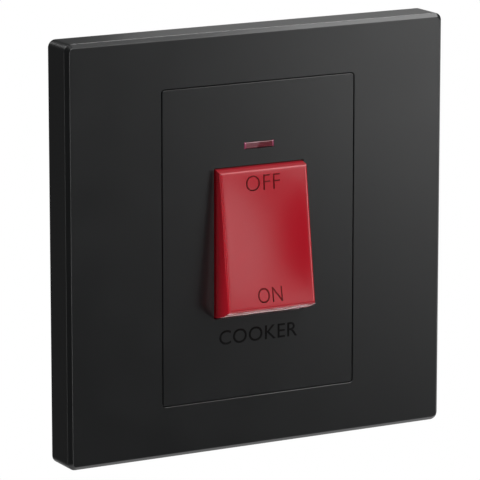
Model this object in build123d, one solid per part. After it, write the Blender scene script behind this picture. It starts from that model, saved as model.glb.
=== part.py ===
from build123d import *
import math
import os

# Double-pole cooker switch on a single wall plate, at rest in the OFF position.
# Millimetres. X is to the right, Y goes into the wall and Z is up.
# The wall plane is y = 0 and the origin is midway between the two fixing slots.

# Plate
plate_size = 86.0
plate_depth = 8.1
plate_corner = 1.6
edge_chamfer = 0.8
edge_soften = 0.25
skin = 2.0
wall = 1.6
panel_width = 43.8
panel_height = 64.5
panel_corner = 0.6
seam_gap = 0.15
seam_soften = 0.1
rim_lift = 0.2

# Mounting frame
frame_thick = 2.4
frame_gap = 0.3
fixing_centres = 60.3
slot_width = 4.2
slot_length = 6.6
screw_seat_size = 10.0
screw_seat_height = 0.8
hook_width = 7.0
hook_bite = 0.7
hook_gap = 0.15
hook_root = 0.3
notch_gap = 0.5
panel_hook_x = 10.0
cover_hook_offset = 22.0

# Rocker
rocker_face_width = 20.0
rocker_face_length = 28.0
rocker_base_width = 20.2
rocker_reach = 6.45
rocker_dish = 0.55
rocker_rim = 0.6
rocker_tilt = 7.7
rocker_skin = 1.8
rocker_soften = 0.5
pivot_depth = 2.5
end_gap = 0.3
side_gap = 0.2
stop_gap = 0.12
stop_ledge = 1.3
trunnion_radius = 1.5
trunnion_length = 2.6
ear_rim = 1.0
pin_end_gap = 0.2
running_gap = 0.05
bearing_width = 9.0

# Plungers and springs
pole_offset = 5.0
sleeve_radius = 3.0
sleeve_depth = 7.5
sleeve_room = 2.0
plunger_radius = 2.0
plunger_tip_radius = 0.9
plunger_guide = 5.5
plunger_gap = 0.32
spring_radius = 1.5
spring_wire = 0.45
spring_turns = 4
spring_sides = 12
spring_end_gap = 0.1

# Contacts
contact_depth = 12.4
arm_width = 4.0
arm_thick = 1.2
arm_rise = 1.6
arm_half_length = 11.5
arm_swing = 8.0
axle_radius = 1.0
axle_length = 7.6
cradle_gap = 0.1
contact_distance = 9.5
tip_size = 3.4
tip_thick = 1.0
contact_gap = 0.08
strip_thick = 1.2
strip_width = 4.4
rest_width = 3.0
rest_length = 2.4
tab_inset = 0.5

# Housing and terminals
housing_width = 48.0
housing_height = 59.6
housing_corner = 2.0
housing_wall = 1.65
seat_depth = 0.6
floor_thick = 2.1
tower_height = 4.2
tower_wall = 1.2
tower_chamfer = 0.7
pocket_gap = 0.15
barrier = 2.0
pole_cavity_width = 8.0
terminal_offset = 14.0
terminal_width = 9.0
terminal_depth = 10.0
terminal_length = 10.5
terminal_end_wall = 1.2
terminal_bore_radius = 2.9
terminal_front_wall = 1.1
terminal_chamfer = 0.5
cable_gap = 0.6
post_width = 4.0
earth_width = 8.0
earth_bore_radius = 2.2
screw_radius = 2.45
screw_head_radius = 3.4
screw_head_height = 2.8
screw_slot_width = 1.0
screw_clear = 0.3
well_gap = 0.5
fastener_radius = 1.4
fastener_boss = 0.8
fastener_head_radius = 2.8
fastener_head_height = 1.6

# Lamp
lens_width = 6.8
lens_height = 1.35
lens_centre_z = 19.5
lens_proud = 0.1
lens_chamfer = 0.2
lens_gap = 0.05
lens_flange = 0.9
light_gap = 1.2
lamp_radius = 2.0
lamp_length = 6.0
lamp_centre_x = -1.0
lamp_depth = 3.0
resistor_radius = 0.9
resistor_length = 4.2
lead_width = 0.8
lead_thick = 0.5
lead_slot = 1.4

# Lengths that only serve the modelling: how far a cut runs past a face, how far an added piece
# sinks into what carries it, and the slack for picking edges by their place
past = 1.0
sink = 0.5
hair = 0.01

# Levels along Y that several pieces share
front_y = -plate_depth
skin_back_y = front_y + skin
frame_front_y = -frame_thick
pivot_y = front_y + pivot_depth
arm_pivot_y = contact_depth + arm_rise
moving_tip_back = arm_thick - arm_rise * math.cos(math.radians(arm_swing)) + tip_thick
fixed_tip_front_y = arm_pivot_y + moving_tip_back + contact_gap
strip_front_y = fixed_tip_front_y + tip_thick
floor_y = strip_front_y + strip_thick
housing_back_y = floor_y + floor_thick
tower_back_y = housing_back_y + tower_height
terminal_front_y = floor_y - terminal_depth
terminal_axis_y = terminal_front_y + terminal_front_wall + terminal_bore_radius
hook_front_y = -frame_thick / 2 + hook_gap
hook_back_y = -rim_lift

# Sizes that follow from the driving ones
cover_inner = plate_size - 2 * skin
frame_size = cover_inner - 2 * frame_gap
window_width = panel_width + 2 * seam_gap
window_height = panel_height + 2 * seam_gap
rocker_radius = math.hypot(rocker_face_length / 2, rocker_reach)
aperture_width = rocker_base_width + 2 * side_gap
aperture_radius = rocker_radius + end_gap
plunger_reach = contact_depth - plunger_gap - pivot_y
sleeve_bore_radius = plunger_radius + running_gap
spring_seat = rocker_reach - rocker_dish - rocker_skin
plunger_top = plunger_guide - sleeve_depth
terminal_outer_z = housing_height / 2 - housing_wall - pocket_gap
terminal_inner_z = terminal_outer_z - terminal_length
terminal_screw_z = -(terminal_inner_z + terminal_outer_z) / 2
lamp_left_x = lamp_centre_x - lamp_length / 2
lamp_right_x = lamp_centre_x + lamp_length / 2
resistor_left_x = lamp_right_x + lead_slot
resistor_right_x = resistor_left_x + resistor_length
bearing_outer_x = aperture_width / 2 + trunnion_length + wall
fastener_x = (bearing_outer_x + panel_width / 2 - wall) / 2


def block(x0, x1, y0, y1, z0, z1):
    """Box between two corners."""
    size = Box(x1 - x0, y1 - y0, z1 - z0)
    return Pos((x0 + x1) / 2, (y0 + y1) / 2, (z0 + z1) / 2) * size


def slab(width, height, corner, y0, y1):
    """Rounded rectangle as seen from the front, from y0 to y1."""
    outline = Plane.XZ * RectangleRounded(width, height, corner)
    return Pos(0, y1, 0) * extrude(outline, y1 - y0)


def rod_x(radius, x0, x1, y, z):
    return Pos((x0 + x1) / 2, y, z) * Rot(Y=90) * Cylinder(radius, x1 - x0)


def rod_y(radius, y0, y1, x, z):
    return Pos(x, (y0 + y1) / 2, z) * Rot(X=90) * Cylinder(radius, y1 - y0)


def rod_z(radius, z0, z1, x, y):
    return Pos(x, y, (z0 + z1) / 2) * Cylinder(radius, z1 - z0)


def other_side(piece):
    return mirror(piece, Plane.YZ)


def upside_down(piece):
    return mirror(piece, Plane.XY)


def front_edges(piece):
    return piece.faces().sort_by(Axis.Y)[0].edges()


def back_edges(piece):
    return piece.faces().sort_by(Axis.Y)[-1].edges()


def cover_hook_places():
    """Angle about Y and offset along the side of each cover hook."""
    offsets = (-cover_hook_offset, cover_hook_offset)
    return [(angle, offset) for angle in (0, 90, 180, 270) for offset in offsets]


def wedge_hook(edge_x, width, bite):
    """Snap hook on a wall whose face is at edge_x, pointing to smaller X."""
    root_x = edge_x + hook_root
    points = [(root_x, hook_front_y), (edge_x - bite, hook_front_y),
              (edge_x, hook_back_y), (root_x, hook_back_y)]
    return extrude(make_face(Polyline(*points, close=True)), width / 2, both=True)


def make_cover_frame():
    shell = slab(plate_size, plate_size, plate_corner, front_y, -rim_lift)
    shell = chamfer(front_edges(shell), edge_chamfer)
    bevel = shell.edges().filter_by_position(Axis.Y, front_y - hair, front_y + edge_chamfer + hair)
    shell = fillet([edge for edge in bevel if edge.bounding_box().size.Y < hair], edge_soften)
    shell -= slab(cover_inner, cover_inner, plate_corner / 2, skin_back_y, 0)
    shell += slab(window_width + 2 * wall, window_height + 2 * wall, panel_corner + wall,
                  front_y + skin / 2, frame_front_y - hook_gap)
    shell -= slab(window_width, window_height, panel_corner + seam_gap, front_y - past, 0)
    window_rim = shell.faces().sort_by(Axis.Y)[0].inner_wires()[0].edges()
    shell = chamfer(window_rim, seam_soften)
    hook = wedge_hook(cover_inner / 2, hook_width, frame_gap + hook_bite)
    for angle, offset in cover_hook_places():
        shell += Rot(Y=angle) * Pos(0, 0, offset) * hook
    return shell


def lens_bar(width, height, y0, y1):
    return block(-width / 2, width / 2, y0, y1, lens_centre_z - height / 2, lens_centre_z + height / 2)


def aperture_tool():
    """What is cut from the panel so that the rocker can swing."""
    drum = rod_x(aperture_radius, -aperture_width / 2, aperture_width / 2, pivot_y, 0)
    return drum & block(-aperture_width, aperture_width, front_y - past, 0,
                        -rocker_face_length, rocker_face_length)


def panel_leg():
    """Clip leg at the upper edge of the panel, with its barb."""
    top_z = panel_height / 2
    leg = block(-hook_width / 2, hook_width / 2, frame_front_y - wall, hook_back_y, top_z - wall, top_z)
    barb = Rot(Y=90) * wedge_hook(-top_z, hook_width, hook_bite)
    return leg + barb


def make_centre_panel():
    panel = slab(panel_width, panel_height, panel_corner, front_y, frame_front_y)
    panel = chamfer(front_edges(panel), seam_soften)
    panel -= slab(panel_width - 2 * wall, panel_height - 2 * wall, panel_corner, skin_back_y, 0)
    bearing_back_y = pivot_y + 2 * trunnion_radius
    bearing = block(aperture_width / 2, bearing_outer_x, skin_back_y - skin / 2, bearing_back_y,
                    -bearing_width / 2, bearing_width / 2)
    panel += bearing
    panel += other_side(bearing)
    panel -= aperture_tool()
    bore_reach = aperture_width / 2 + trunnion_length
    panel -= rod_x(trunnion_radius + running_gap, -bore_reach, bore_reach, pivot_y, 0)
    panel -= lens_bar(lens_width + 2 * lens_gap, lens_height + 2 * lens_gap, front_y - past, 0)
    for x in (-panel_hook_x, panel_hook_x):
        leg = Pos(x, 0, 0) * panel_leg()
        panel += leg
        panel += upside_down(leg)
    return panel


def terminal_places():
    return [(x, z) for x in (-1, 1) for z in (-1, 1)]


def terminal_post():
    """Post on the back of the mounting frame that keeps an upper terminal in its pocket."""
    return block(-post_width / 2, post_width / 2, -seat_depth - sink, terminal_front_y - pocket_gap,
                 lens_centre_z + lead_slot, terminal_outer_z - housing_wall)


def make_mounting_frame():
    frame = slab(frame_size, frame_size, plate_corner / 2, frame_front_y, 0)
    for x in (-fixing_centres / 2, fixing_centres / 2):
        frame += block(x - screw_seat_size / 2, x + screw_seat_size / 2,
                       frame_front_y - screw_seat_height, frame_front_y + sink,
                       -screw_seat_size / 2, screw_seat_size / 2)
    for x in (-fixing_centres / 2, fixing_centres / 2):
        slot = Plane.XZ * SlotOverall(slot_length, slot_width)
        frame -= Pos(x, past, 0) * extrude(slot, plate_depth)
    opening_x = pole_offset + sleeve_radius + sleeve_room
    opening_z = rocker_radius - stop_ledge
    frame -= block(-opening_x, opening_x, front_y, past, -opening_z, opening_z)
    frame -= lens_bar(lens_width + 2 * light_gap, lens_height + 2 * light_gap, front_y, past)
    notch_half = hook_width / 2 + notch_gap
    notch = block(frame_size / 2 - hook_bite - notch_gap, frame_size / 2 + past, -frame_thick / 2, past,
                  -notch_half, notch_half)
    for angle, offset in cover_hook_places():
        frame -= Rot(Y=angle) * Pos(0, 0, offset) * notch
    for x in (-panel_hook_x, panel_hook_x):
        half = hook_width / 2 + hook_gap
        top_z = panel_height / 2
        slot = block(x - half, x + half, front_y, past, top_z - wall - hook_gap, top_z + hook_gap)
        rebate = block(x - half, x + half, -frame_thick / 2, past, top_z, top_z + hook_bite + notch_gap)
        frame -= slot
        frame -= rebate
        frame -= upside_down(slot)
        frame -= upside_down(rebate)
    frame -= slab(housing_width + 2 * pocket_gap, housing_height + 2 * pocket_gap, housing_corner,
                  -seat_depth, past)
    for x, z in terminal_places():
        post = Pos(terminal_offset, 0, 0) * terminal_post()
        post = post if x > 0 else other_side(post)
        frame += post if z > 0 else upside_down(post)
    frame += upside_down(terminal_post())
    boss_half = fastener_radius + fastener_boss
    boss = block(fastener_x - boss_half, fastener_x + boss_half, skin_back_y + hook_gap, -seat_depth,
                 -boss_half, boss_half)
    hole = rod_y(fastener_radius, skin_back_y + wall, past, fastener_x, 0)
    frame += boss
    frame += other_side(boss)
    frame -= hole
    frame -= other_side(hole)
    return frame


def rocker_profile():
    """Side view of the rocker upright: y is towards the back, from the pivot."""
    half = rocker_face_length / 2
    stop_depth = frame_front_y - stop_gap - pivot_y
    rear_angle = math.asin(stop_depth / rocker_radius) - math.radians(rocker_tilt)
    rear_y = rocker_radius * math.sin(rear_angle)
    rear_z = rocker_radius * math.cos(rear_angle)
    top_wall = ThreePointArc((-rocker_reach, half), (0, rocker_radius), (rear_y, rear_z))
    back = Line((rear_y, rear_z), (rear_y, -rear_z))
    bottom_wall = ThreePointArc((rear_y, -rear_z), (0, -rocker_radius), (-rocker_reach, -half))
    face = Line((-rocker_reach, -half), (-rocker_reach, half))
    return Plane.YZ * make_face(top_wall + back + bottom_wall + face)


def rocker_plan(inset):
    """View from above, wider at the back than at the face."""
    face_x = rocker_face_width / 2 - inset
    base_x = rocker_base_width / 2 - inset
    plan_front_y = -rocker_reach - past
    plan_back_y = rocker_radius
    grow = (base_x - face_x) / rocker_reach
    wide_x = base_x + grow * plan_back_y
    front_x = base_x + grow * plan_front_y
    points = [(-front_x, plan_front_y), (front_x, plan_front_y),
              (wide_x, plan_back_y), (-wide_x, plan_back_y)]
    return make_face(Polyline(*points, close=True))


def rocker_scoop():
    """Hollow of the rocker's face, straight along the rim and deepest in the middle.

    A quadratic patch reaches a quarter of the height of its middle point.
    """
    half_x = rocker_face_width / 2 - rocker_rim
    half_z = rocker_face_length / 2 - rocker_rim
    net = [[(x, -rocker_reach, z) for z in (-half_z, 0, half_z)] for x in (-half_x, 0, half_x)]
    net[1][1] = (0, 4 * rocker_dish - rocker_reach, 0)
    return extrude(Face.make_bezier_surface(net), rocker_reach, dir=(0, -1, 0))


def make_rocker():
    body = extrude(rocker_profile(), rocker_base_width, both=True)
    plan = extrude(rocker_plan(0), rocker_radius * 2, both=True)
    body &= plan
    body = fillet(front_edges(body), rocker_soften)
    body -= rocker_scoop()
    hollow = rod_x(rocker_radius - wall, -rocker_base_width, rocker_base_width, 0, 0)
    hollow &= extrude(rocker_plan(wall), rocker_radius * 2, both=True)
    hollow &= block(-rocker_base_width, rocker_base_width, -spring_seat, rocker_radius,
                    -rocker_radius, rocker_radius)
    body -= hollow
    web = block(-rocker_face_width / 2 + wall / 2, rocker_face_width / 2 - wall / 2,
                -spring_seat - sink, 0, -wall / 2, wall / 2)
    body += web
    for side in (-1, 1):
        ear_x = rocker_base_width / 2 - wall
        pin_x = aperture_width / 2 + trunnion_length - pin_end_gap
        ear = rod_x(trunnion_radius + ear_rim, ear_x, rocker_base_width, 0, 0) & plan
        pin = rod_x(trunnion_radius, ear_x, pin_x, 0, 0)
        body += ear if side > 0 else other_side(ear)
        body += pin if side > 0 else other_side(pin)
        body += rod_y(sleeve_radius, -spring_seat - sink, sleeve_depth, side * pole_offset, 0)
    for side in (-1, 1):
        body -= rod_y(sleeve_bore_radius, -spring_seat, sleeve_depth + past, side * pole_offset, 0)
    return at_rest(body)


def at_rest(piece):
    """Place a piece of the rocker, drawn upright about its pivot, in the OFF position."""
    return Pos(0, pivot_y, 0) * Rot(X=-rocker_tilt) * piece


def make_plunger():
    nose_start = plunger_reach - (plunger_radius - plunger_tip_radius)
    outline = Polyline((0, -plunger_top), (plunger_radius, -plunger_top), (plunger_radius, nose_start),
                       (plunger_tip_radius, plunger_reach), (0, plunger_reach), close=True)
    stem = revolve(make_face(outline), Axis.Y)
    return at_rest(Pos(-pole_offset, 0, 0) * stem)


def make_plunger_spring():
    """Coil of flat wire from the sleeve's seat to the plunger, with a few straight runs in each turn."""
    start = -spring_seat + spring_end_gap + spring_wire / 2
    end = -plunger_top - spring_end_gap - spring_wire / 2
    runs = round(spring_turns * spring_sides)
    points = []
    for run in range(runs + 1):
        angle = 2 * math.pi * run / spring_sides
        along = start + (end - start) * run / runs
        points.append((spring_radius * math.cos(angle), along, spring_radius * math.sin(angle)))
    coil = Polyline(*points)
    section = Plane(coil @ 0, z_dir=coil % 0) * Rectangle(spring_wire, spring_wire)
    spring = sweep(section, coil, transition=Transition.RIGHT)
    return at_rest(Pos(-pole_offset, 0, 0) * spring)


def arm_wing():
    """Upper wing of a contact arm in side view, drawn about the arm's pivot."""
    lean = math.radians(arm_swing)
    run = arm_half_length * math.tan(lean)
    back = arm_rise - arm_thick / math.cos(lean)
    points = [(-arm_rise, 0), (-arm_rise - run, arm_half_length), (-back - run, arm_half_length), (-back, 0)]
    return Plane.YZ * make_face(Polyline(*points, close=True))


def arm_at_rest(piece):
    return Pos(-pole_offset, arm_pivot_y, 0) * Rot(X=arm_swing) * piece


def make_contact_arm():
    wing = extrude(arm_wing(), arm_width / 2, both=True)
    axle = rod_x(axle_radius, -axle_length / 2, axle_length / 2, 0, 0)
    return arm_at_rest(wing + upside_down(wing) + axle)


def make_moving_tip():
    lean = math.radians(arm_swing)
    back = arm_rise * math.cos(lean) - arm_thick
    half = tip_size / 2
    tip = block(-half, half, -back, tip_thick - back, contact_distance - half, contact_distance + half)
    return arm_at_rest(Rot(X=arm_swing) * tip)


def on_pole(width, y0, y1, z0, z1):
    """Block centred on the live pole."""
    return block(-pole_offset - width / 2, -pole_offset + width / 2, y0, y1, z0, z1)


def make_fixed_tip():
    return on_pole(tip_size, fixed_tip_front_y, strip_front_y,
                   contact_distance - tip_size / 2, contact_distance + tip_size / 2)


def strip_foot():
    """End of a strip at the lower terminal: a cross run and a tab on the block's end."""
    edge_x = pole_offset - strip_width / 2
    tab_z = terminal_inner_z - strip_thick
    outer_x = terminal_offset + terminal_width / 2 - tab_inset
    inner_x = terminal_offset - terminal_width / 2 + tab_inset
    run = block(-outer_x, -edge_x, strip_front_y, floor_y, -terminal_inner_z, -terminal_inner_z + strip_width)
    tab = block(-outer_x, -inner_x, terminal_axis_y, floor_y, -terminal_inner_z, -tab_z)
    return run + tab


def make_supply_strip():
    cradle_z = 2 * axle_radius
    strip = on_pole(strip_width, strip_front_y, floor_y, -terminal_inner_z, cradle_z + sink)
    strip += on_pole(arm_width, arm_pivot_y + cradle_gap, strip_front_y + sink, -cradle_z, cradle_z)
    strip -= rod_x(axle_radius + running_gap, -pole_offset - axle_length, axle_length - pole_offset,
                   arm_pivot_y, 0)
    rest_y = fixed_tip_front_y - tip_thick
    strip += on_pole(rest_width, rest_y, strip_front_y + sink,
                     -contact_distance - rest_length / 2, -contact_distance + rest_length / 2)
    return strip + strip_foot()


def make_load_strip():
    strip = on_pole(strip_width, strip_front_y, floor_y, contact_distance - strip_width / 2, terminal_inner_z)
    return strip + upside_down(strip_foot())


def make_terminal(width, bore_radius):
    """Brass block at the lower end, in the middle, with its bore open downwards."""
    brass = block(-width / 2, width / 2, terminal_front_y, floor_y, -terminal_outer_z, -terminal_inner_z)
    brass = chamfer(brass.edges().filter_by(Axis.Y), terminal_chamfer)
    bore_end_z = -terminal_inner_z - terminal_end_wall
    brass -= rod_z(bore_radius, -terminal_outer_z - past, bore_end_z, 0, terminal_axis_y)
    return brass - rod_y(screw_radius + running_gap, terminal_axis_y, floor_y + past, 0, terminal_screw_z)


def make_terminal_screw():
    """Clamp screw in the middle at the lower end, backed out of the bore."""
    tip_y = terminal_axis_y + terminal_bore_radius + screw_clear
    head_y = tower_back_y - screw_head_height - screw_clear
    shank = rod_y(screw_radius, tip_y, head_y, 0, terminal_screw_z)
    head = rod_y(screw_head_radius, head_y, head_y + screw_head_height, 0, terminal_screw_z)
    slot = block(-screw_head_radius, screw_head_radius, head_y + screw_head_height / 2, tower_back_y,
                 terminal_screw_z - screw_slot_width / 2, terminal_screw_z + screw_slot_width / 2)
    return shank + head - slot


def tower(width):
    """Housing block behind one lower terminal, in the middle."""
    half = width / 2 + pocket_gap + tower_wall
    piece = block(-half, half, housing_back_y - sink, tower_back_y,
                  -housing_height / 2, -terminal_inner_z + pocket_gap + tower_wall)
    return chamfer(back_edges(piece), tower_chamfer)


def terminal_cut(width, bore_radius):
    """Pocket, screw well and cable hole of one lower terminal, in the middle."""
    half = width / 2 + pocket_gap
    pocket = block(-half, half, -past, floor_y,
                   -terminal_outer_z - pocket_gap, -terminal_inner_z + pocket_gap)
    reach = screw_head_radius + well_gap
    well = block(-reach, reach, floor_y - sink, tower_back_y + past,
                 terminal_screw_z - reach, terminal_screw_z + reach)
    cable = bore_radius + cable_gap
    mouth = block(-cable, cable, terminal_axis_y - cable, terminal_axis_y + cable,
                  -housing_height / 2 - past, -terminal_outer_z + sink)
    return pocket + well + mouth


def make_housing():
    half_x = housing_width / 2
    housing = slab(housing_width, housing_height, housing_corner, -seat_depth, housing_back_y)
    housing = chamfer(back_edges(housing), tower_chamfer)
    corner_tower = Pos(terminal_offset, 0, 0) * tower(terminal_width)
    corner_cut = Pos(terminal_offset, 0, 0) * terminal_cut(terminal_width, terminal_bore_radius)
    for x, z in terminal_places():
        piece = corner_tower if x > 0 else other_side(corner_tower)
        housing += piece if z < 0 else upside_down(piece)
    housing += tower(earth_width)
    for x, z in terminal_places():
        piece = corner_cut if x > 0 else other_side(corner_cut)
        housing -= piece if z < 0 else upside_down(piece)
    housing -= terminal_cut(earth_width, earth_bore_radius)
    cavity = block(barrier / 2, barrier / 2 + pole_cavity_width, -past, floor_y,
                   -terminal_inner_z, terminal_inner_z)
    channel_x = terminal_offset + terminal_width / 2 + pocket_gap
    channel_z = terminal_inner_z - strip_width - pocket_gap
    channel = block(barrier / 2, channel_x, -past, floor_y, channel_z, terminal_inner_z + pocket_gap)
    side_x = barrier / 2 + pole_cavity_width + wall
    side = block(side_x, half_x - housing_wall, -past, floor_y, -channel_z + wall, channel_z - wall)
    boss_half = fastener_radius + wall
    side -= block(fastener_x - boss_half, fastener_x + boss_half, -past - sink, floor_y,
                  -boss_half, boss_half)
    cut = cavity + channel + upside_down(channel)
    housing -= cut
    housing -= other_side(cut)
    housing -= side
    housing -= other_side(side)
    for x in (-fastener_x, fastener_x):
        housing -= rod_y(fastener_radius + running_gap, -past, tower_back_y, x, 0)
    lamp_x = terminal_offset - terminal_width / 2 - pocket_gap - wall
    lamp_back_y = lamp_depth + lamp_radius + pocket_gap
    lamp_half = lamp_radius + pocket_gap
    housing -= block(-lamp_x, lamp_x, -past, lamp_back_y,
                     lens_centre_z - lamp_half, lens_centre_z + lamp_half)
    housing -= block(-terminal_offset, terminal_offset, -past, lamp_depth + lead_slot / 2,
                     lens_centre_z - lead_slot / 2, lens_centre_z + lead_slot / 2)
    return housing


def make_housing_screw(x):
    """Screw from the back of the housing into a boss on the mounting frame."""
    top_y = housing_back_y + fastener_head_height
    shank = rod_y(fastener_radius - running_gap, skin_back_y + wall + running_gap, housing_back_y, x, 0)
    head = rod_y(fastener_head_radius, housing_back_y, top_y, x, 0)
    half = screw_slot_width / 2
    slot = block(x - half, x + half, top_y - fastener_head_height / 2, top_y,
                 -fastener_head_radius, fastener_head_radius)
    return shank + head - slot


def make_lens():
    face = lens_bar(lens_width, lens_height, front_y - lens_proud, skin_back_y + lens_flange)
    face = chamfer(front_edges(face), lens_chamfer)
    flange = lens_bar(lens_width + 2 * lens_flange, lens_height + 2 * lens_flange,
                      skin_back_y, skin_back_y + lens_flange)
    pipe = lens_bar(lens_width, lens_height, skin_back_y, lamp_depth - lamp_radius - light_gap / 2)
    return face + flange + pipe


def make_lamp():
    return rod_x(lamp_radius, lamp_left_x, lamp_right_x, lamp_depth, lens_centre_z)


def make_resistor():
    return rod_x(resistor_radius, resistor_left_x, resistor_right_x, lamp_depth, lens_centre_z)


def lead(x0, x1, y0=lamp_depth - lead_thick / 2, y1=lamp_depth + lead_thick / 2):
    """Straight flat lead at the level of the lens, level with the lamp unless y0 and y1 say otherwise."""
    return block(x0, x1, y0, y1, lens_centre_z - lead_width / 2, lens_centre_z + lead_width / 2)


def bent_lead(start_x, end_x):
    """Flat lead along X that bends back on to the front of a terminal."""
    half = lead_thick / 2
    run = lead(min(start_x, end_x - half), max(start_x, end_x + half))
    drop = lead(end_x - half, end_x + half, lamp_depth - half, terminal_front_y)
    return run + drop


plunger_live = make_plunger()
plunger_spring_live = make_plunger_spring()
contact_arm_live = make_contact_arm()
moving_tip_live = make_moving_tip()
fixed_tip_live = make_fixed_tip()
supply_strip_live = make_supply_strip()
load_strip_live = make_load_strip()
main_terminal = make_terminal(terminal_width, terminal_bore_radius)
main_screw = make_terminal_screw()
terminal_live_in = Pos(-terminal_offset, 0, 0) * main_terminal
screw_live_in = Pos(-terminal_offset, 0, 0) * main_screw

nodes = {
    "cover_frame": make_cover_frame(),
    "centre_panel": make_centre_panel(),
    "mounting_frame": make_mounting_frame(),
    "base_housing": make_housing(),
    "rocker": make_rocker(),
    "plunger_live": plunger_live,
    "plunger_neutral": other_side(plunger_live),
    "plunger_spring_live": plunger_spring_live,
    "plunger_spring_neutral": other_side(plunger_spring_live),
    "contact_arm_live": contact_arm_live,
    "contact_arm_neutral": other_side(contact_arm_live),
    "moving_tip_live": moving_tip_live,
    "moving_tip_neutral": other_side(moving_tip_live),
    "fixed_tip_live": fixed_tip_live,
    "fixed_tip_neutral": other_side(fixed_tip_live),
    "supply_strip_live": supply_strip_live,
    "supply_strip_neutral": other_side(supply_strip_live),
    "load_strip_live": load_strip_live,
    "load_strip_neutral": other_side(load_strip_live),
    "terminal_live_in": terminal_live_in,
    "terminal_live_out": upside_down(terminal_live_in),
    "terminal_neutral_in": other_side(terminal_live_in),
    "terminal_neutral_out": other_side(upside_down(terminal_live_in)),
    "terminal_earth": make_terminal(earth_width, earth_bore_radius),
    "screw_live_in": screw_live_in,
    "screw_live_out": upside_down(screw_live_in),
    "screw_neutral_in": other_side(screw_live_in),
    "screw_neutral_out": other_side(upside_down(screw_live_in)),
    "screw_earth": main_screw,
    "housing_screws": Compound(children=[make_housing_screw(x) for x in (-fastener_x, fastener_x)]),
    "indicator_lens": make_lens(),
    "indicator_lamp": make_lamp(),
    "lamp_resistor": make_resistor(),
    "lamp_lead_live": bent_lead(lamp_left_x, -terminal_offset),
    "lamp_lead_link": lead(lamp_right_x, resistor_left_x),
    "lamp_lead_neutral": bent_lead(resistor_right_x, terminal_offset),
}

os.makedirs("parts", exist_ok=True)
for name, shape in nodes.items():
    export_step(shape, "parts/" + name + ".step")
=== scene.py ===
# %% [markdown]
# A cooker switch is the large double-pole switch on a kitchen wall that cuts the power to the cooker. The
# solids of this one come from CAD: a black cover frame and centre panel, a red rocker, a lamp lens and,
# behind the wall plane, a pale housing with its contacts and brass terminals. They are loaded first, as a
# fixed frame. Blender then gives every surface its finish, makes the screws with real threads and prints
# the words.

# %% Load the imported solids
import bpy
import math
from mathutils import Euler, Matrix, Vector


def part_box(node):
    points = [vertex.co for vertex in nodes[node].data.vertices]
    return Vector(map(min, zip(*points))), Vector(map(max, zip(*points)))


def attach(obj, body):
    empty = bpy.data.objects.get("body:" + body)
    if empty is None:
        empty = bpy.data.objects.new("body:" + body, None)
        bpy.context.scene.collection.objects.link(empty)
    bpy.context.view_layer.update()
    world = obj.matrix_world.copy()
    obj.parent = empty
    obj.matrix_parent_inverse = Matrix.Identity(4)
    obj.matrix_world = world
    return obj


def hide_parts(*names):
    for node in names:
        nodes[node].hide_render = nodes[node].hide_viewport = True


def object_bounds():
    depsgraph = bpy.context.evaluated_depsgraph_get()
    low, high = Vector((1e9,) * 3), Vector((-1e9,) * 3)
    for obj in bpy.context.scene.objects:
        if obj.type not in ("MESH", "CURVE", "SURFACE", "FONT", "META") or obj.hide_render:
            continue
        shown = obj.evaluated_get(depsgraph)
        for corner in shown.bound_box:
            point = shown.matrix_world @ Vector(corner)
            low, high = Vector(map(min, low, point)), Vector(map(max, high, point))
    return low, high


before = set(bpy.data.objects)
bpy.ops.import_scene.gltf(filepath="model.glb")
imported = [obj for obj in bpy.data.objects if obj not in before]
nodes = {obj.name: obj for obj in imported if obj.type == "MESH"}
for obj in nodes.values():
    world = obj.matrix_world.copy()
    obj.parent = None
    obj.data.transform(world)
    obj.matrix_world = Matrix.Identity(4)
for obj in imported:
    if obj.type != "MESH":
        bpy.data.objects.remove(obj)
cad_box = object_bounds()
MM = 0.001
print("loaded", len(nodes), "nodes, box", [round(value, 4) for corner in cad_box for value in corner])

# %% [markdown]
# A finish is a small network of nodes. One function adds a node, sets its values and makes its links, so
# a material reads as a list of what it is made of. Colours are written as the hex values that a paint
# program shows and turned into linear light by one function, because the shader works in linear light.

# %% Two helpers for materials
def linear(hex_colour):
    """An sRGB hex colour such as C81E28 as linear RGBA."""
    parts = [int(hex_colour[i:i + 2], 16) / 255 for i in (0, 2, 4)]
    return [c / 12.92 if c <= 0.04045 else ((c + 0.055) / 1.055) ** 2.4 for c in parts] + [1.0]


def add_node(tree, kind, inputs=None, **settings):
    """Add a node. An input that is given a socket is linked to it, and any other value is set."""
    node = tree.nodes.new(kind)
    for name, value in settings.items():
        setattr(node, name, value)
    for name, value in (inputs or {}).items():
        if isinstance(value, bpy.types.NodeSocket):
            tree.links.new(value, node.inputs[name])
        else:
            node.inputs[name].default_value = value
    return node


print("a mid grey of 808080 is", round(linear("808080")[0], 3), "in linear light")

# %% [markdown]
# Nearly every surface here was pressed, moulded, drawn or dipped, and what the eye gets from that is much
# the same: the colour and the gloss drift a little from place to place, and fine marks of the tool stand
# on the surface. It could be painted as an image, but noise at real sizes in millimetres fits any piece
# and never repeats. So one recipe serves all, and each material says how large its patches and marks are.
# The drift is never cut off at an end, because a clipped noise shows as blotches with an edge.

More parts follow.
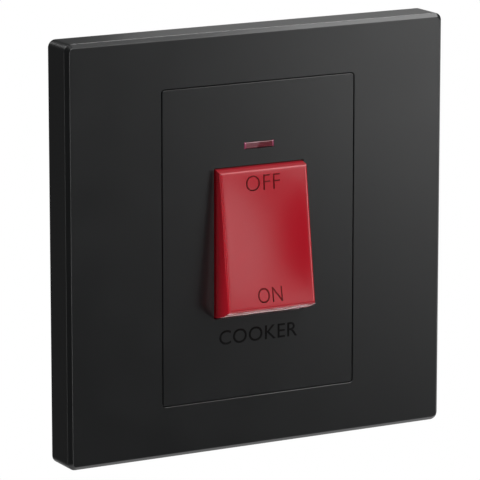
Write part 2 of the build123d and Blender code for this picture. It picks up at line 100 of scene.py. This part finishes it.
# %% The recipe for a worked surface
def worked_surface(name, dark, light, gloss, patch_mm, mark_mm, mark_depth_mm, run=(1, 1, 1), **values):
    """Colours dark to light, roughness over the range gloss, in patches, with marks raised on the surface.

    run is how closely the marks are packed along X, Y and Z: a small number draws them out into lines.
    """
    material = bpy.data.materials.new(name)
    material.use_nodes = True
    tree = material.node_tree
    shader = tree.nodes["Principled BSDF"]
    for socket, value in values.items():
        shader.inputs[socket.replace("_", " ")].default_value = value
    place = add_node(tree, "ShaderNodeTexCoord")
    patches = add_node(tree, "ShaderNodeTexNoise", {
        "Vector": place.outputs["Object"], "Scale": 1 / (patch_mm * MM), "Detail": 1.0})
    # Sockets 6 and 7 of a colour mix are its two colours, and output 2 is the mixed one.
    colour = add_node(tree, "ShaderNodeMix", {
        "Factor": patches.outputs["Fac"], 6: linear(dark), 7: linear(light)}, data_type="RGBA")
    roughness = add_node(tree, "ShaderNodeMapRange", {
        "Value": patches.outputs["Fac"], "To Min": gloss[0], "To Max": gloss[1]})
    drawn_out = add_node(tree, "ShaderNodeMapping", {"Vector": place.outputs["Object"], "Scale": run})
    marks = add_node(tree, "ShaderNodeTexNoise", {
        "Vector": drawn_out.outputs["Vector"], "Scale": 1 / (mark_mm * MM), "Detail": 2.0})
    raised = add_node(tree, "ShaderNodeBump", {
        "Height": marks.outputs["Fac"], "Distance": mark_depth_mm * MM})
    tree.links.new(colour.outputs[2], shader.inputs["Base Color"])
    tree.links.new(roughness.outputs["Result"], shader.inputs["Roughness"])
    tree.links.new(raised.outputs["Normal"], shader.inputs["Normal"])
    return material


def dress(material, *names):
    """Give a material to CAD nodes."""
    for name in names:
        for slot in nodes[name].material_slots:
            slot.material = material
    print(material.name, "on", ", ".join(names))


# %% [markdown]
# The cover frame and the centre panel are injection moulded in black polycarbonate. The mould is spark
# eroded, which leaves a very fine even grain: the plastic is satin, takes a broad soft sheen from the
# light beside it and shows no sharp reflection. The grain of the real mould is near 0.05 mm and can't be
# seen from this far, so it is drawn three times as coarse.

# %% Black polycarbonate with a spark-eroded grain
black = worked_surface("black_polycarbonate_spark_eroded", "0E0F10", "111213", gloss=(0.27, 0.33),
                       patch_mm=9.0, mark_mm=0.15, mark_depth_mm=0.003, IOR=1.58)
dress(black, "cover_frame", "centre_panel")

# %% [markdown]
# The rocker is moulded in red polycarbonate in a polished mould. It is glossier than the plate, so its
# hollow face shows where the light beside it ends, and its own colour is deep and even.

# %% Red polycarbonate from a polished mould
red = worked_surface("red_polycarbonate_polished_mould", "A5041A", "A9061C", gloss=(0.19, 0.21),
                     patch_mm=9.0, mark_mm=0.6, mark_depth_mm=0.0003, IOR=1.58)
dress(red, "rocker")

# %% [markdown]
# The lamp shows through a bar of clear acrylic tinted red. Unlit it looks dusky, because little light
# comes back out of it. Its ends are painted pinker than the face, a painted glow of light that leaves the
# bar there, and the left half of the face is painted paler up to a slanting edge, a painted reflection.
# Both are painted into the colour from Object coordinates and do not come from the lights.

# %% Tinted acrylic lens
lens = worked_surface("red_acrylic_moulded_clear", "662832", "742E38", gloss=(0.1, 0.16),
                      patch_mm=2.5, mark_mm=0.4, mark_depth_mm=0.001, IOR=1.49, Transmission_Weight=0.25)
tree = lens.node_tree
shader = tree.nodes["Principled BSDF"]
tinted = shader.inputs["Base Color"].links[0].from_socket
place = add_node(tree, "ShaderNodeTexCoord")
along = add_node(tree, "ShaderNodeSeparateXYZ", {"Vector": place.outputs["Object"]})

# The paler left half of the face, up to a slanting edge, is a painted reflection.
low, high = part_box("indicator_lens")
lean = 0.6
reflection_edge_x = -0.2 * MM
reflection_edge_value = reflection_edge_x - lean * (low.z + high.z) / 2
edge_blur = 0.25 * MM
leaning = add_node(tree, "ShaderNodeMath", {0: along.outputs["Z"], 1: -lean, 2: along.outputs["X"]},
                   operation="MULTIPLY_ADD")
painted_reflection_mask = add_node(tree, "ShaderNodeMapRange", {
    "Value": leaning.outputs[0], "From Min": reflection_edge_value - edge_blur, "From Max": reflection_edge_value + edge_blur})
with_painted_reflection = add_node(tree, "ShaderNodeMix", {
    "Factor": painted_reflection_mask.outputs["Result"], 6: linear("84525A"), 7: tinted}, data_type="RGBA")

# The pinker ends of the bar are a painted glow of light that leaves it there.
glow_starts = 2.9 * MM
glow_full = 3.1 * MM
from_middle = add_node(tree, "ShaderNodeMath", {0: along.outputs["X"]}, operation="ABSOLUTE")
painted_glow_mask = add_node(tree, "ShaderNodeMapRange", {
    "Value": from_middle.outputs[0], "From Min": glow_starts, "From Max": glow_full})
with_painted_glow = add_node(tree, "ShaderNodeMix", {
    "Factor": painted_glow_mask.outputs["Result"], 6: with_painted_reflection.outputs[2], 7: linear("B05674")}, data_type="RGBA")
tree.links.new(with_painted_glow.outputs[2], shader.inputs["Base Color"])
dress(lens, "indicator_lens")

# %% [markdown]
# Behind the front the plastics change. The mounting frame is grey polycarbonate, left plain because the
# cover hides it. The housing next to the live metal is a pale thermoset, which doesn't soften when a
# terminal runs hot: dry and slightly speckled. The two plungers are natural nylon, waxy and slightly
# translucent, which subsurface scattering gives.

# %% Plastics behind the front
def both_poles(stem):
    """Names of the live and the neutral piece of a pair."""
    return [stem + "_live", stem + "_neutral"]


grey = worked_surface("grey_polycarbonate_plain_mould", "363739", "454649", gloss=(0.44, 0.56),
                      patch_mm=5.0, mark_mm=0.2, mark_depth_mm=0.005, IOR=1.58)
pale = worked_surface("pale_thermoset_pressed", "C8C0AE", "E0DACD", gloss=(0.38, 0.54),
                      patch_mm=0.5, mark_mm=0.5, mark_depth_mm=0.006, IOR=1.55)
nylon = worked_surface("natural_nylon_moulded", "E0DCCC", "F0EDE3", gloss=(0.34, 0.46),
                       patch_mm=2.0, mark_mm=0.4, mark_depth_mm=0.002, IOR=1.53,
                       Subsurface_Weight=0.3, Subsurface_Scale=1.0 * MM)
dress(grey, "mounting_frame")
dress(pale, "base_housing")
dress(nylon, *both_poles("plunger"))

# %% [markdown]
# The metals are told apart by colour and by how they were worked. Brass blocks are sawn from drawn bar
# and keep fine lines along it. Copper strips are stamped and have darkened a little in places. Silver
# contact tips are pressed and matt. Springs are drawn steel wire, and the lamp's flat leads are bright
# with tin. The screws' steel has a thin zinc plating, which is slightly bluish and cloudy.

# %% Brass, copper, silver and steel
drawn_along_z = (1.0, 1.0, 0.05)
ways = ("live_in", "live_out", "neutral_in", "neutral_out", "earth")
brass = worked_surface("brass_drawn_bar", "AE8836", "D3AF5C", gloss=(0.18, 0.38),
                       patch_mm=4.0, mark_mm=0.15, mark_depth_mm=0.003, run=drawn_along_z, Metallic=1.0)
copper = worked_surface("copper_stamped_strip", "9C5632", "CA815A", gloss=(0.24, 0.46),
                        patch_mm=3.0, mark_mm=0.2, mark_depth_mm=0.003, run=drawn_along_z, Metallic=1.0)
silver = worked_surface("silver_pressed_tip", "C0BFBA", "E0DFDB", gloss=(0.26, 0.46),
                        patch_mm=0.8, mark_mm=0.15, mark_depth_mm=0.003, Metallic=1.0)
zinc = worked_surface("steel_zinc_plated", "AAAFB4", "CED1D3", gloss=(0.2, 0.42),
                      patch_mm=1.5, mark_mm=0.2, mark_depth_mm=0.002, Metallic=1.0)
spring = worked_surface("spring_steel_drawn_wire", "828387", "ACADB0", gloss=(0.22, 0.38),
                        patch_mm=1.0, mark_mm=0.1, mark_depth_mm=0.002, Metallic=1.0)
tinned = worked_surface("copper_tinned_bright", "B5B5B1", "D4D4D1", gloss=(0.16, 0.34),
                        patch_mm=1.0, mark_mm=0.2, mark_depth_mm=0.002, Metallic=1.0)
dress(brass, *["terminal_" + way for way in ways])
dress(copper, *both_poles("contact_arm"), *both_poles("supply_strip"), *both_poles("load_strip"))
dress(silver, *both_poles("moving_tip"), *both_poles("fixed_tip"))
dress(spring, *both_poles("plunger_spring"))
dress(tinned, *both_poles("lamp_lead"), "lamp_lead_link")

# %% [markdown]
# Behind the lens a small neon lamp has a clear glass bulb, and its resistor has a dipped coat of tan
# lacquer, thick enough to sag into soft waves.

# %% Lamp glass and resistor lacquer
glass = worked_surface("lamp_glass_drawn", "E9D9CC", "F4EAE0", gloss=(0.02, 0.09),
                       patch_mm=1.5, mark_mm=1.0, mark_depth_mm=0.002, IOR=1.5, Transmission_Weight=0.85)
lacquer = worked_surface("resistor_lacquer_dipped", "A8844F", "CBA873", gloss=(0.24, 0.36),
                         patch_mm=1.2, mark_mm=0.7, mark_depth_mm=0.01, IOR=1.5)
dress(glass, "indicator_lamp")
dress(lacquer, "lamp_resistor")

# %% [markdown]
# The terminal screws and the two housing screws are slotted steel screws. CAD has them as plain pegs,
# since a thread is too fine for its solids. Each is modelled here as it is turned on a lathe. First comes
# the blank: a disc is the head, its upper edge is rounded, and its lower face is set in and drawn down
# into the core of the shank, with a small taper at the tip. It could be spun from an outline, but drawing
# a face down keeps the number of points small and shows which face becomes what.

# %% The blank of a screw
ring_points = 40
rounding_of_head = 0.15
rounding_steps = 3
looks_down_shank = -0.9


def choose(piece, parts, test):
    """Select the faces or edges of a piece that pass a test, and go into edit mode."""
    bpy.ops.object.mode_set(mode="EDIT")
    bpy.ops.mesh.select_mode(type="FACE" if parts == "polygons" else "EDGE")
    bpy.ops.mesh.select_all(action="DESELECT")
    bpy.ops.object.mode_set(mode="OBJECT")
    for part in getattr(piece.data, parts):
        part.select = test(part)
    bpy.ops.object.mode_set(mode="EDIT")


def turn_blank(name, head_radius, head_height, core_radius, length, taper):
    """A blank along Y with the middle of its head's top at the origin, pointing to -Y."""
    bpy.ops.object.select_all(action="DESELECT")
    bpy.ops.mesh.primitive_cylinder_add(vertices=ring_points, radius=head_radius, depth=head_height,
                                        location=(0.0, -head_height / 2, 0.0),
                                        rotation=(math.pi / 2, 0.0, 0.0))
    screw = bpy.context.object
    screw.name = name
    bpy.ops.object.transform_apply(location=True, rotation=True, scale=True)
    points = screw.data.vertices
    choose(screw, "edges", lambda edge: all(points[i].co.y > -head_height / 2 for i in edge.vertices))
    bpy.ops.mesh.bevel(offset=head_height * rounding_of_head, segments=rounding_steps)
    bpy.ops.object.mode_set(mode="OBJECT")
    choose(screw, "polygons", lambda face: face.normal.y < looks_down_shank)
    bpy.ops.mesh.inset(thickness=head_radius - core_radius)
    shank_end = head_height + taper - length
    bpy.ops.mesh.extrude_region_move(TRANSFORM_OT_translate={"value": (0.0, shank_end, 0.0)})
    bpy.ops.mesh.extrude_region_move(TRANSFORM_OT_translate={"value": (0.0, -taper, 0.0)})
    bpy.ops.transform.resize(value=[1 - taper / core_radius] * 3, center_override=(0.0, -length, 0.0))
    bpy.ops.object.mode_set(mode="OBJECT")
    return screw


# %% [markdown]
# Next a saw cuts the slot across the head. The cut runs over faces that have no edges there, so it isn't
# an extrusion: a bar is taken away by a Boolean modifier, and deleted once the modifier is applied.

# %% The slot
def saw_slot(screw, across, depth, width):
    """Cut a slot along X into the head."""
    bpy.ops.mesh.primitive_cube_add(size=1.0, location=(0.0, 0.0, 0.0))
    saw = bpy.context.object
    saw.scale = (across, 2 * depth, width)
    bpy.ops.object.transform_apply(location=True, rotation=True, scale=True)
    bpy.context.view_layer.objects.active = screw
    cut = screw.modifiers.new("saw_cut", "BOOLEAN")
    cut.object = saw
    cut.operation = "DIFFERENCE"
    bpy.ops.object.modifier_apply(modifier="saw_cut")
    bpy.data.objects.remove(saw)


# %% [markdown]
# The thread is a ridge of three corners wound round the core. The Screw modifier winds it from a
# triangle, and its two open ends are then filled, so that the ridge is a closed shape of its own, sunk
# into the core.

# %% The thread
def wind_thread(core_radius, ridge, pitch, first_y, turns):
    """A closed thread round the Y axis that starts at first_y."""
    bpy.ops.object.select_all(action="DESELECT")
    bpy.ops.mesh.primitive_circle_add(vertices=3, radius=ridge, fill_type="NOTHING",
                                      location=(core_radius, first_y, 0.0),
                                      rotation=(0.0, 0.0, -math.pi / 2))
    thread = bpy.context.object
    bpy.ops.object.transform_apply(location=True, rotation=True, scale=True)
    wind = thread.modifiers.new("wind", "SCREW")
    wind.axis = "Y"
    wind.screw_offset = pitch
    wind.iterations = turns
    wind.steps = ring_points
    wind.render_steps = ring_points
    bpy.ops.object.modifier_apply(modifier="wind")
    bpy.ops.object.mode_set(mode="EDIT")
    bpy.ops.mesh.select_all(action="SELECT")
    bpy.ops.mesh.fill_holes(sides=3)
    bpy.ops.mesh.select_all(action="SELECT")
    bpy.ops.mesh.normals_make_consistent(inside=False)
    bpy.ops.object.mode_set(mode="OBJECT")


# %% [markdown]
# Blank, slot and thread are joined into one screw. The ridge stands two fifths of the pitch above the
# core, which leaves a strip of the core bare between its turns. The core is thinner than the peg that CAD
# has by that height, so the ridge ends where the peg's surface is.

# %% A whole screw
ridge_per_pitch = 0.4
smooth_up_to = math.radians(35)


def make_screw(name, head_radius, head_height, shank_radius, length, slot_width, pitch):
    """A slotted screw along Y with the middle of its head's top at the origin, pointing to -Y."""
    ridge = pitch * ridge_per_pitch
    core_radius = shank_radius - ridge
    screw = turn_blank(name, head_radius, head_height, core_radius, length, ridge)
    saw_slot(screw, across=3 * head_radius, depth=head_height / 2, width=slot_width)
    turns = int((length - head_height - ridge) / pitch) - 1
    wind_thread(core_radius, ridge, pitch, pitch - length, turns)
    screw.select_set(True)
    bpy.context.view_layer.objects.active = screw
    bpy.ops.object.join()
    bpy.ops.object.shade_smooth_by_angle(angle=smooth_up_to)
    screw.data.materials.append(zinc)
    print(name, "has", turns, "turns and", len(screw.data.polygons), "faces")
    return screw


# %% [markdown]
# The five terminal screws stand backed out, so that a cable can go in. One is modelled and copied, and
# each copy has its own mesh with its place in it. The places come from the CAD screws, whose boxes end at
# the top of the head.

# %% Terminal screws
def set_at(screw, name, top, turn=0.0):
    """A copy of a screw with its own mesh, turned about its axis, the middle of its head's top at a point."""
    bpy.ops.object.select_all(action="DESELECT")
    copy = screw.copy()
    copy.data = screw.data.copy()
    copy.name = name
    bpy.context.collection.objects.link(copy)
    copy.location = top
    copy.rotation_euler = Euler((0.0, turn, 0.0))
    copy.select_set(True)
    bpy.context.view_layer.objects.active = copy
    bpy.ops.object.transform_apply(location=True, rotation=True, scale=True)
    return copy


def stand_for(piece, node):
    """The piece rides on the base in place of a CAD screw."""
    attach(piece, "base")
    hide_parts(node)


slot_width = 1.0 * MM
low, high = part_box("screw_earth")
terminal_screw = make_screw("terminal_screw", head_radius=(high.x - low.x) / 2, head_height=2.8 * MM,
                            shank_radius=2.45 * MM, length=high.y - low.y, slot_width=slot_width,
                            pitch=0.8 * MM)
for way in ways:
    low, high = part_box("screw_" + way)
    top = Vector(((low.x + high.x) / 2, high.y, (low.z + high.z) / 2))
    stand_for(set_at(terminal_screw, "slotted_screw_" + way, top), "screw_" + way)
bpy.data.objects.remove(terminal_screw)

# %% [markdown]
# Two longer and thinner screws hold the housing to the mounting frame. They are one CAD node, so the pair
# is joined into one piece. Their slots stand upright, a quarter turn from those of the terminal screws.

# %% Housing screws
low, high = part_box("housing_screws")
head_radius = (high.z - low.z) / 2
housing_screw = make_screw("housing_screw", head_radius=head_radius, head_height=1.6 * MM,
                           shank_radius=1.35 * MM, length=high.y - low.y, slot_width=slot_width,
                           pitch=1.0 * MM)
pair = [set_at(housing_screw, "slotted_housing_screws", Vector((x, high.y, 0.0)), math.pi / 2)
        for x in (low.x + head_radius, high.x - head_radius)]
bpy.data.objects.remove(housing_screw)
pair[0].select_set(True)
bpy.context.view_layer.objects.active = pair[0]
bpy.ops.object.join()
stand_for(pair[0], "housing_screws")

# %% [markdown]
# OFF and ON are printed on the rocker, and the name of the circuit under it, all in a thin plain letter.
# A print is a film of ink, matt on the glossy rocker and on the satin plate. The film on the rocker is so
# thin that some of the red shows through it, so that ink is a very dark red and not black.

# %% Inks
rocker_ink = worked_surface("dark_red_ink_pad_printed", "5A0407", "640509", gloss=(0.75, 0.85),
                            patch_mm=0.3, mark_mm=0.1, mark_depth_mm=0.001, IOR=1.3)
plate_ink = worked_surface("black_ink_pad_printed", "020202", "050505", gloss=(0.75, 0.85),
                           patch_mm=0.3, mark_mm=0.1, mark_depth_mm=0.001, IOR=1.3)
print("inks:", rocker_ink.name, "and", plate_ink.name)

# %% [markdown]
# Each word is a text that is turned into a mesh and brought to its printed size. It could stay a text
# object, but only a mesh can be pressed on to a curved face.

# %% A word as a mesh
drawn_size = 10.0 * MM
steps_per_curve = 6
letter_spacing = 1.05
same_point = 0.0005 * MM


def set_word(name, word, width_mm, height_mm, bolder_mm):
    """A word as a flat mesh about its own middle. bolder thickens the letters, or thins them below zero."""
    bpy.ops.object.select_all(action="DESELECT")
    bpy.ops.object.text_add()
    piece = bpy.context.object
    piece.name = name
    piece.data.body = word
    piece.data.size = drawn_size
    piece.data.offset = bolder_mm * MM
    piece.data.resolution_u = steps_per_curve
    piece.data.space_character = letter_spacing
    bpy.ops.object.convert(target="MESH")
    bpy.ops.object.mode_set(mode="EDIT")
    bpy.ops.mesh.select_all(action="SELECT")
    bpy.ops.mesh.remove_doubles(threshold=same_point)
    bpy.ops.object.mode_set(mode="OBJECT")
    bpy.ops.object.origin_set(type="ORIGIN_GEOMETRY", center="BOUNDS")
    piece.dimensions = (width_mm * MM, height_mm * MM, 0.0)
    bpy.ops.object.transform_apply(location=False, rotation=False, scale=True)
    return piece


# %% [markdown]
# The rocker's face is hollow and leans in the OFF position. So a word starts in front of the face, turned
# with it, a Shrinkwrap modifier presses it back on to the real curve, and a Solidify modifier gives the
# film its 0.02 mm, of which a quarter is sunk into the plastic, so that no gap shows.

# %% Press a word on to a face
ink_film = 0.02 * MM
standing_off = 20.0 * MM


def press_on(piece, node, turns_about_mm, lean_deg, right_mm, up_mm):
    """Print a word on a face that leans back about a point, at a place right of and above that point."""
    piece.rotation_euler = Euler((math.radians(90.0 + lean_deg), 0.0, 0.0))
    in_front = Vector((right_mm * MM, up_mm * MM, standing_off))
    piece.location = Vector(turns_about_mm) * MM + piece.rotation_euler.to_matrix() @ in_front
    press = piece.modifiers.new("press", "SHRINKWRAP")
    press.target = nodes[node]
    press.wrap_method = "PROJECT"
    press.use_project_z = True
    press.use_positive_direction = False
    press.use_negative_direction = True
    press.offset = -ink_film / 4
    bpy.ops.object.modifier_apply(modifier="press")
    film = piece.modifiers.new("film", "SOLIDIFY")
    film.thickness = ink_film
    film.offset = 1.0
    bpy.ops.object.modifier_apply(modifier="film")
    bpy.ops.object.transform_apply(location=True, rotation=True, scale=True)
    depths = [round(vertex.co.y / MM, 3) for vertex in piece.data.vertices]
    print(piece.name, "has", len(piece.data.polygons), "faces at Y", min(depths), "to", max(depths), "mm")


# %% [markdown]
# The rocker turns about an axle behind the plate's front, and its resting lean is half of its travel. Its
# two words ride with it, and the word on the plate stays with the base.

# %% The three words
axle_mm = (0.0, -5.6, 0.0)
resting_lean = -7.7
off_word = set_word("word_off", "OFF", width_mm=7.8, height_mm=3.15, bolder_mm=-0.13)
press_on(off_word, "rocker", axle_mm, resting_lean, right_mm=-0.35, up_mm=11.43)
on_word = set_word("word_on", "ON", width_mm=5.6, height_mm=3.1, bolder_mm=-0.05)
press_on(on_word, "rocker", axle_mm, resting_lean, right_mm=-0.3, up_mm=-11.33)
for word in (off_word, on_word):
    word.data.materials.append(rocker_ink)
    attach(word, "rocker")
circuit_word = set_word("word_cooker", "COOKER", width_mm=18.05, height_mm=3.0, bolder_mm=0.05)
press_on(circuit_word, "centre_panel", turns_about_mm=(0.0, 0.0, 0.0), lean_deg=0.0,
         right_mm=-0.1, up_mm=-19.5)
circuit_word.data.materials.append(plate_ink)
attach(circuit_word, "base")

# %% [markdown]
# The camera stands where the photographer stood: to the left of the plate, a little above it and far back
# with a long lens, so that the plate's edges run almost parallel. Its place and turn were worked out from
# the corners of the plate and of its centre panel.

# %% Camera
camera_place = (-0.372743, -0.683263, 0.167003)
tilt_from_straight_down = math.radians(77.7713)
turn_to_the_right = math.radians(28.6169)
focal_length_mm = 293.152
bpy.ops.object.camera_add(location=camera_place, rotation=(tilt_from_straight_down, 0.0, -turn_to_the_right))
camera = bpy.context.object
camera.data.lens = focal_length_mm
camera.data.sensor_width = 36.0
camera.data.clip_start = 0.01
bpy.context.scene.camera = camera
print("camera", round(camera.location.length, 3), "m from the middle of the switch")

# %% [markdown]
# The photograph is cut out on white with no shadow in view. The switch hangs over a pale floor well below
# it. Light Path tells the camera's own rays from the light that falls on the object, so the floor is
# white to the camera without adding any light to the part. It is white to reflections too, so that metal
# and glass show it, and near the middle it keeps a share of its own paint, which takes the soft shadow.

# %% Floor
floor_drop = 1.2
floor_back = 0.3
floor_side = 3.3
shadow_share = 0.2
shadow_core = 0.25
shadow_reach = 0.8
bpy.ops.object.select_all(action="DESELECT")
bpy.ops.mesh.primitive_plane_add(size=floor_side, location=(0.0, floor_back, -floor_drop))
floor = bpy.context.object
floor.name = "studio_floor"
bpy.ops.object.transform_apply(location=True, rotation=False, scale=False)
floor_paint = worked_surface("floor_white_paint", "E4E4E4", "E8E8E8", gloss=(0.88, 0.92),
                             patch_mm=200.0, mark_mm=2.0, mark_depth_mm=0.05)
tree = floor_paint.node_tree
path = add_node(tree, "ShaderNodeLightPath")
seen = add_node(tree, "ShaderNodeMath", {
    0: path.outputs["Is Camera Ray"], 1: path.outputs["Is Glossy Ray"]}, operation="MAXIMUM")
seen = add_node(tree, "ShaderNodeMath", {
    0: seen.outputs[0], 1: path.outputs["Is Transmission Ray"]}, operation="MAXIMUM")
place = add_node(tree, "ShaderNodeTexCoord")
reach = add_node(tree, "ShaderNodeVectorMath", {
    0: place.outputs["Object"], 1: (0.0, 0.0, -floor_drop)}, operation="DISTANCE")
fade = add_node(tree, "ShaderNodeMapRange", {
    "Value": reach.outputs["Value"], "From Min": shadow_core, "From Max": shadow_reach,
    "To Min": 1 - shadow_share, "To Max": 1.0})
share = add_node(tree, "ShaderNodeMath", {
    0: seen.outputs[0], 1: fade.outputs["Result"]}, operation="MULTIPLY")
white = add_node(tree, "ShaderNodeEmission", {"Color": (1.0, 1.0, 1.0, 1.0), "Strength": 1.0})
mix = add_node(tree, "ShaderNodeMixShader", {
    0: share.outputs[0], 1: tree.nodes["Principled BSDF"].outputs[0], 2: white.outputs[0]})
tree.links.new(mix.outputs[0], tree.nodes["Material Output"].inputs["Surface"])
floor.data.materials.append(floor_paint)

# %% [markdown]
# The room is white to the camera and through glass, as the floor is, but dim to everything else. A white
# room all round would lie as a grey veil on the satin black plate, whose depth in the photograph comes
# from a dark studio with a few lamps.

# %% Room
room_level = 0.07
world = bpy.data.worlds.new("dim_studio")
bpy.context.scene.world = world
world.use_nodes = True
tree = world.node_tree
sky = tree.nodes["Background"]
sky.inputs["Color"].default_value = (1.0, 1.0, 1.0, 1.0)
path = add_node(tree, "ShaderNodeLightPath")
seen = add_node(tree, "ShaderNodeMath", {
    0: path.outputs["Is Camera Ray"], 1: path.outputs["Is Transmission Ray"]}, operation="MAXIMUM")
level = add_node(tree, "ShaderNodeMapRange", {"Value": seen.outputs[0], "To Min": room_level, "To Max": 1.0})
tree.links.new(level.outputs["Result"], sky.inputs["Strength"])
bpy.context.scene.view_settings.view_transform = "Standard"
print("room at", room_level, "of white")

# %% [markdown]
# All lamps are soft boxes. A box is placed as a photographer would say it: so many degrees round from the
# front, to the right, so many degrees up, and so far away. Its brightness is that of its own surface,
# which is what a glossy plastic shows, and its power follows from its size. The key box stands high in
# front and gives the colours their level. Another box fills the back, for views from there.

# %% Key and fill
def soft_box(name, round_deg, up_deg, distance, width, height, radiance, aim=(0.0, 0.0, 0.0)):
    """A soft box of that size and brightness, turned to look at aim."""
    level_distance = distance * math.cos(math.radians(up_deg))
    place = Vector((level_distance * math.sin(math.radians(round_deg)),
                    -level_distance * math.cos(math.radians(round_deg)),
                    distance * math.sin(math.radians(up_deg))))
    bpy.ops.object.light_add(type="AREA", location=place)
    light = bpy.context.object
    light.name = name
    light.data.shape = "RECTANGLE"
    light.data.size = width
    light.data.size_y = height
    light.data.energy = math.pi * width * height * radiance
    light.rotation_euler = (Vector(aim) - place).to_track_quat("-Z", "Y").to_euler()
    light.visible_camera = False
    print(name, "gives", round(light.data.energy, 2), "W")
    return light


# Degrees round, degrees up, metres away, width, height and brightness of each box
soft_box("key_box", 2.0, 47.7, 1.08, 0.6, 0.6, 5.8)
soft_box("back_fill", -143.0, 45.0, 1.06, 0.6, 0.6, 4.0)

# %% [markdown]
# Seen from the left, the flat front mirrors what stands to the right. Four boxes there are what the
# plate's sheen is made of: one low, a taller and weaker one above it, a strong one further round, and a
# weak one so close that its sheen grows towards the upper right corner. The rocker's hollow turns away
# from them on its right side, which stays plain red.

# %% Sheen on the front
# Degrees round, degrees up, metres away, width, height and brightness of each box
soft_box("sheen_low", 38.0, -10.0, 0.8, 0.13, 0.14, 2.2)
soft_box("sheen_middle", 30.0, 7.0, 0.8, 0.13, 0.25, 1.15)
soft_box("sheen_right", 48.0, 0.0, 0.8, 0.13, 0.14, 5.7)
soft_box("sheen_near", 43.4, 6.9, 0.25, 0.12, 0.12, 0.9)

# %% [markdown]
# The bevels and rounded edges of the plate mirror other directions than its flats, so a few more boxes
# draw them as light lines. The upper bevel looks up to the right, where two boxes hang close by, a strong
# one for its right part and a weak one for its left part. The strong one draws the rocker's upper edge and
# the seams of the centre panel too, and the brow box, in front and above, broadens that line on the rocker.
# The top of the plate looks back to two more boxes, the right edge looks back to the right, and the left
# edges see two upright strips, one in front and one at the left. The one in front lights the rocker's left
# wall too.

# %% Lines on the edges
plate_top = cad_box[1][2]
upper_bevel = (0.0, -8.0 * MM, plate_top)
# Degrees round, degrees up, metres away, width, height and brightness of each box
soft_box("brow_box", 28.5, 27.1, 0.79, 0.2, 0.14, 4.8)
soft_box("top_box", 70.0, 53.0, 0.235, 0.19, 0.1, 4.4, aim=upper_bevel)
soft_box("crown_box", 67.0, 75.0, 0.266, 0.1, 0.06, 0.9, aim=upper_bevel)
soft_box("over_box", 138.0, 50.2, 0.44, 0.16, 0.1, 12.0)
soft_box("back_box", 143.0, 21.8, 0.27, 0.14, 0.1, 0.3, aim=(0.0, 0.0, plate_top))
soft_box("right_box", 118.0, -12.6, 0.87, 0.25, 0.25, 0.6)
soft_box("front_strip", -16.9, -11.8, 0.98, 0.2, 0.5, 5.5)
soft_box("left_strip", -107.3, -12.0, 0.96, 0.2, 0.5, 2.5)

# %% [markdown]
# The rocker's upper and lower end walls curve about its axle and mirror places behind the plate, which
# the plate itself would hide. In the photograph both are pale with sheen. Light linking lets three boxes
# shine on the rocker alone, with only the rocker in their way, so they reach these walls and leave the
# plate as it is. Two of them give reflections only, or the rocker's side walls would glow. The third hangs
# right below and gives the lower wall its red. A fourth box shines on the rocker alone too, but the plate
# stays in its way: it stands at the left, a little behind the plate's front, so its light passes over the
# plate's left edge and reaches the outer part of the rocker's left wall, which is dark at its root.

# %% Light on the rocker's walls
only_rocker = bpy.data.collections.new("rocker_alone")
only_rocker.objects.link(nodes["rocker"])
# Degrees round, degrees up, metres away, width, height and brightness of each box
under_box = soft_box("under_box", 145.5, -31.0, 0.7, 0.08, 0.42, 62.0)
roof_box = soft_box("roof_box", 141.8, 40.7, 0.7, 0.15, 0.5, 2.0)
chin_box = soft_box("chin_box", 0.0, -89.0, 0.7, 0.2, 0.2, 18.0)
wall_box = soft_box("wall_box", -95.0, 12.0, 0.6, 0.12, 0.3, 30.0)
under_box.visible_diffuse = False
roof_box.visible_diffuse = False
wall_box.light_linking.receiver_collection = only_rocker
for light in (under_box, roof_box, chin_box):
    light.light_linking.receiver_collection = only_rocker
    light.light_linking.blocker_collection = only_rocker
